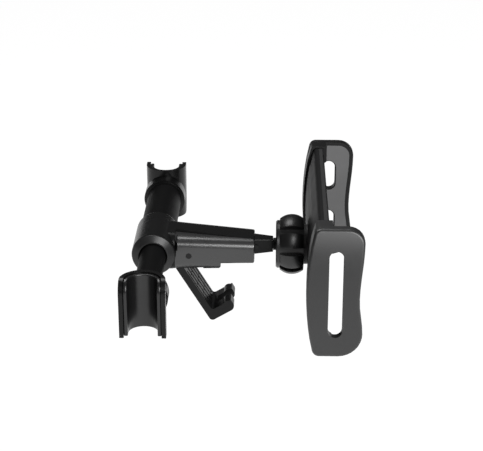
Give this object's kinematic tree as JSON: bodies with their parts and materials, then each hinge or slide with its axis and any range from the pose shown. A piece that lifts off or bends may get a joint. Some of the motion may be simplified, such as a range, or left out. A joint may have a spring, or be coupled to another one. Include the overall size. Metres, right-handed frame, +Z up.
{
  "type": "headrest tablet mount",
  "caption": "Tablet holder on a telescopic arm and ball joint, carried by a sprung crossbar whose padded clamps grip the two headrest posts of a car seat; bag hook below.",
  "frame": {"origin": "axis of the far headrest post, halfway up the far clamp's rubber pad", "axes": "+X along the arm towards the tablet, +Y along the crossbar away from the near clamp, +Z up along the headrest posts"},
  "size_m": [0.1307, 0.184, 0.084],
  "materials": {
    "bar": "matt black, fine texture",
    "clamp": "polished black",
    "grip": "soft black rubber",
    "arm": "satin black",
    "cover": "satin charcoal",
    "hook": "satin black, knurled face",
    "nut": "semi-gloss black",
    "holder": "satin black",
    "jaw": "satin charcoal",
    "jaw_pad": "grey rubber",
    "inner_plastic": "black moulded",
    "nylon": "natural white",
    "ball": "black moulded",
    "steel": "zinc plated",
    "dark_screw": "black oxide"
  },
  "bodies": {
    "fixed_bar": {"outer_tube": "bar", "stop_ring": "steel", "far_end_plug": "inner_plastic", "far_collar": "clamp", "far_clamp_shell": "clamp", "far_clamp_pad": "grip", "far_clamp_screw": "steel", "bar_spring": "steel"},
    "sliding_bar": {"inner_rod": "bar", "rod_guide": "nylon", "near_end_plug": "inner_plastic", "near_collar": "clamp", "near_clamp_shell": "clamp", "near_clamp_pad": "grip", "near_clamp_screw": "steel"},
    "arm": {"arm_housing": "arm", "side_cover": "cover", "hub_ring": "cover", "cover_screw": "dark_screw", "hook_pin": "steel"},
    "hook": {"bag_hook": "hook"},
    "stem": {"sliding_stem": "arm", "ball_stud": "ball", "guide_screw": "dark_screw"},
    "cup": {"ball_cup": "grip"},
    "ring": {"ball_ring": "nylon"},
    "holder": {"socket": "inner_plastic", "holder_back": "holder", "holder_front": "holder", "front_pad": "grip", "holder_screws": "steel", "jaw_spring": "steel"},
    "nut": {"lock_nut": "nut"},
    "pinion": {"pinion": "nylon"},
    "near_jaw": {"near_jaw": "jaw", "near_jaw_pad": "jaw_pad", "near_rack": "nylon"},
    "far_jaw": {"far_jaw": "jaw", "far_jaw_pad": "jaw_pad", "far_rack": "nylon"}
  },
  "joints": [
    {"name": "bar_slide", "type": "slide", "parent": "fixed_bar", "child": "sliding_bar", "axis": [0, 1, 0], "range_m": [0, 0.02], "stiffness_N_per_m": 300, "springref_m": -0.02, "deforming": ["bar_spring"]},
    {"name": "arm_tilt", "type": "hinge", "parent": "fixed_bar", "child": "arm", "pos_m": [0, -0.0875, 0], "axis": [0, -1, 0], "range_deg": [-60, 60]},
    {"name": "hook_swing", "type": "hinge", "parent": "arm", "child": "hook", "pos_m": [0.0133, -0.0875, -0.0084], "axis": [0, -1, 0], "range_deg": [-31, 35]},
    {"name": "stem_slide", "type": "slide", "parent": "arm", "child": "stem", "axis": [1, 0, 0], "range_m": [0, 0.025]},
    {"name": "ball_spin", "type": "hinge", "parent": "stem", "child": "cup", "pos_m": [0.0785, -0.0875, -0.0005], "axis": [1, 0, 0], "continuous": true},
    {"name": "ball_yaw", "type": "hinge", "parent": "cup", "child": "ring", "pos_m": [0.0785, -0.0875, -0.0005], "axis": [0, 0, 1], "range_deg": [-18, 18]},
    {"name": "ball_pitch", "type": "hinge", "parent": "ring", "child": "holder", "pos_m": [0.0785, -0.0875, -0.0005], "axis": [0, -1, 0], "range_deg": [-18, 18]},
    {"name": "nut_turn", "type": "hinge", "parent": "holder", "child": "nut", "pos_m": [0.0785, -0.0875, -0.0005], "axis": [1, 0, 0], "range_deg": [0, 180]},
    {"name": "jaw_slide", "type": "slide", "parent": "holder", "child": "near_jaw", "axis": [0, -1, 0], "range_m": [0, 0.035], "stiffness_N_per_m": 100, "springref_m": -0.02, "deforming": ["jaw_spring"]},
    {"name": "far_jaw_slide", "type": "slide", "parent": "holder", "child": "far_jaw", "axis": [0, 1, 0], "range_m": [0, 0.035]},
    {"name": "pinion_turn", "type": "hinge", "parent": "holder", "child": "pinion", "pos_m": [0.0946, -0.0875, 0.0014], "axis": [1, 0, 0], "range_deg": [0, 290]}
  ],
  "couplings": [
    {"joint": "far_jaw_slide", "follows": "jaw_slide", "ratio": 1},
    {"joint": "pinion_turn", "follows": "jaw_slide", "rad_per_m": 142.86}
  ]
}
